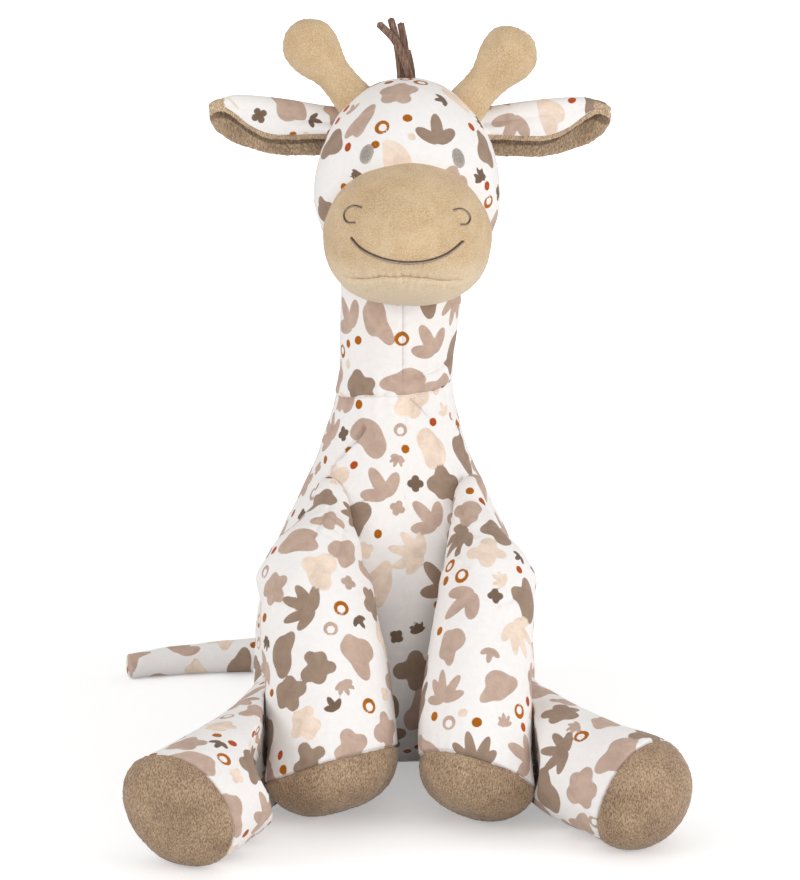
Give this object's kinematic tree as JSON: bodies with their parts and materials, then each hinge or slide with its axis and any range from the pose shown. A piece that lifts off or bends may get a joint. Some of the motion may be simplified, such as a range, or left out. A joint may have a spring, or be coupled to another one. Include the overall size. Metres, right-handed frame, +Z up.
{
  "type": "plush giraffe",
  "caption": "Seated stuffed giraffe in printed minky with tan muzzle and horns and brown soles; neck leans, head nods, ears flap, legs and tail swing.",
  "frame": {"origin": "centre of the flat seat under the torso, on the floor", "axes": "+Z up, the giraffe faces -Y, its own left side is +X"},
  "size_m": [0.3642, 0.4115, 0.473],
  "materials": {
    "printed_minky": "short pile printed minky",
    "tan_velboa": "short pile tan velboa",
    "brown_plush": "longer pile brown plush",
    "suede": "dark brown suede cloth",
    "embroidery": "grey satin stitch",
    "canvas": "undyed woven cotton"
  },
  "bodies": {
    "torso": {"torso": "printed_minky", "seat_panel": "printed_minky", "pellet_bag": "canvas"},
    "neck": {"neck": "printed_minky"},
    "head": {"head": "printed_minky", "muzzle": "tan_velboa", "chin": "tan_velboa", "right_eye": "embroidery", "left_eye": "embroidery", "smile": "embroidery", "right_nostril": "embroidery", "left_nostril": "embroidery", "right_horn": "tan_velboa", "left_horn": "tan_velboa", "tuft_strand_1": "suede", "tuft_strand_2": "suede", "tuft_strand_3": "suede", "tuft_strand_4": "suede"},
    "right_ear": {"right_ear": "printed_minky", "right_ear_lining": "brown_plush"},
    "left_ear": {"left_ear": "printed_minky", "left_ear_lining": "brown_plush"},
    "right_front_leg": {"right_front_leg": "printed_minky", "right_front_sole": "brown_plush"},
    "left_front_leg": {"left_front_leg": "printed_minky", "left_front_sole": "brown_plush"},
    "right_hind_leg": {"right_hind_leg": "printed_minky", "right_hind_sole": "brown_plush"},
    "left_hind_leg": {"left_hind_leg": "printed_minky", "left_hind_sole": "brown_plush"},
    "tail": {"tail": "printed_minky"}
  },
  "joints": [
    {"name": "neck_lean", "type": "hinge", "parent": "torso", "child": "neck", "pos_m": [0, 0, 0.237], "axis": [0, 1, 0], "range_deg": [-15, 15], "stiffness_Nm_per_rad": 2},
    {"name": "head_nod", "type": "hinge", "parent": "neck", "child": "head", "pos_m": [0, 0, 0.297], "axis": [1, 0, 0], "range_deg": [-15, 20], "stiffness_Nm_per_rad": 1},
    {"name": "right_ear_flap", "type": "hinge", "parent": "head", "child": "right_ear", "pos_m": [-0.0455, 0.006, 0.394], "axis": [0, 1, 0], "range_deg": [-20, 12], "stiffness_Nm_per_rad": 0.1},
    {"name": "left_ear_flap", "type": "hinge", "parent": "head", "child": "left_ear", "pos_m": [0.0587, 0.006, 0.394], "axis": [0, 1, 0], "range_deg": [-12, 20], "stiffness_Nm_per_rad": 0.1},
    {"name": "right_shoulder", "type": "hinge", "parent": "torso", "child": "right_front_leg", "pos_m": [-0.048, -0.043, 0.176], "axis": [-1, 0, 0], "range_deg": [0, 60]},
    {"name": "left_shoulder", "type": "hinge", "parent": "torso", "child": "left_front_leg", "pos_m": [0.048, -0.043, 0.176], "axis": [-1, 0, 0], "range_deg": [0, 60]},
    {"name": "right_hip", "type": "hinge", "parent": "torso", "child": "right_hind_leg", "pos_m": [-0.064, -0.055, 0.034], "axis": [0, 0, -1], "range_deg": [0, 45]},
    {"name": "left_hip", "type": "hinge", "parent": "torso", "child": "left_hind_leg", "pos_m": [0.064, -0.055, 0.034], "axis": [0, 0, 1], "range_deg": [0, 45]},
    {"name": "tail_swing", "type": "hinge", "parent": "torso", "child": "tail", "pos_m": [-0.01, 0.086, 0.028], "axis": [0, 0, -1], "range_deg": [0, 120]}
  ]
}
